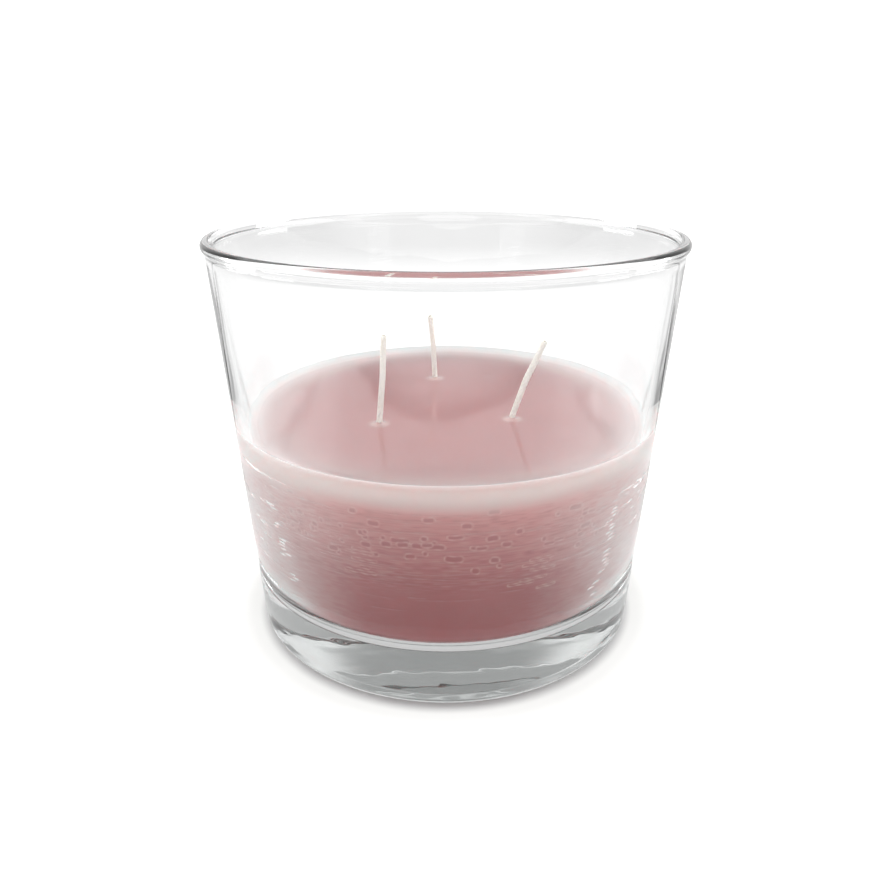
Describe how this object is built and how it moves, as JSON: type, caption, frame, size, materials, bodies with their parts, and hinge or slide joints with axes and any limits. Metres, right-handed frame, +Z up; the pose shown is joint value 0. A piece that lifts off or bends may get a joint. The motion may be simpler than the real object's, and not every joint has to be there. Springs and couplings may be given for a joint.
{
  "type": "glass container candle",
  "caption": "Tapered clear glass tumbler with a thick base and a beaded rim, filled to about half its height with dusty pink wax around upright braided wicks.",
  "frame": {"origin": "centre of the glass foot, on the table it stands on", "axes": "+Z up along the vessel's axis; -Y is the side that faces the viewer, +X is to the viewer's right"},
  "size_m": [0.126, 0.126, 0.1105],
  "materials": {
    "clear_glass": "polished clear pressed soda-lime glass",
    "pink_wax": "satin translucent candle wax",
    "cotton_braid": "wax-primed cotton braid",
    "paper_core": "twisted paper cord",
    "tinned_steel": "tin-plated sheet steel",
    "hot_melt_glue": "milky hot-melt adhesive"
  },
  "bodies": {
    "root": {"glass_vessel": "clear_glass", "wax_fill": "pink_wax", "wick_left": "cotton_braid", "wick_back": "cotton_braid", "wick_right": "cotton_braid", "wick_core_left": "paper_core", "wick_core_back": "paper_core", "wick_core_right": "paper_core", "wick_sustainer_left": "tinned_steel", "wick_sustainer_back": "tinned_steel", "wick_sustainer_right": "tinned_steel", "wick_glue_dot_left": "hot_melt_glue", "wick_glue_dot_back": "hot_melt_glue", "wick_glue_dot_right": "hot_melt_glue"}
  },
  "joints": []
}
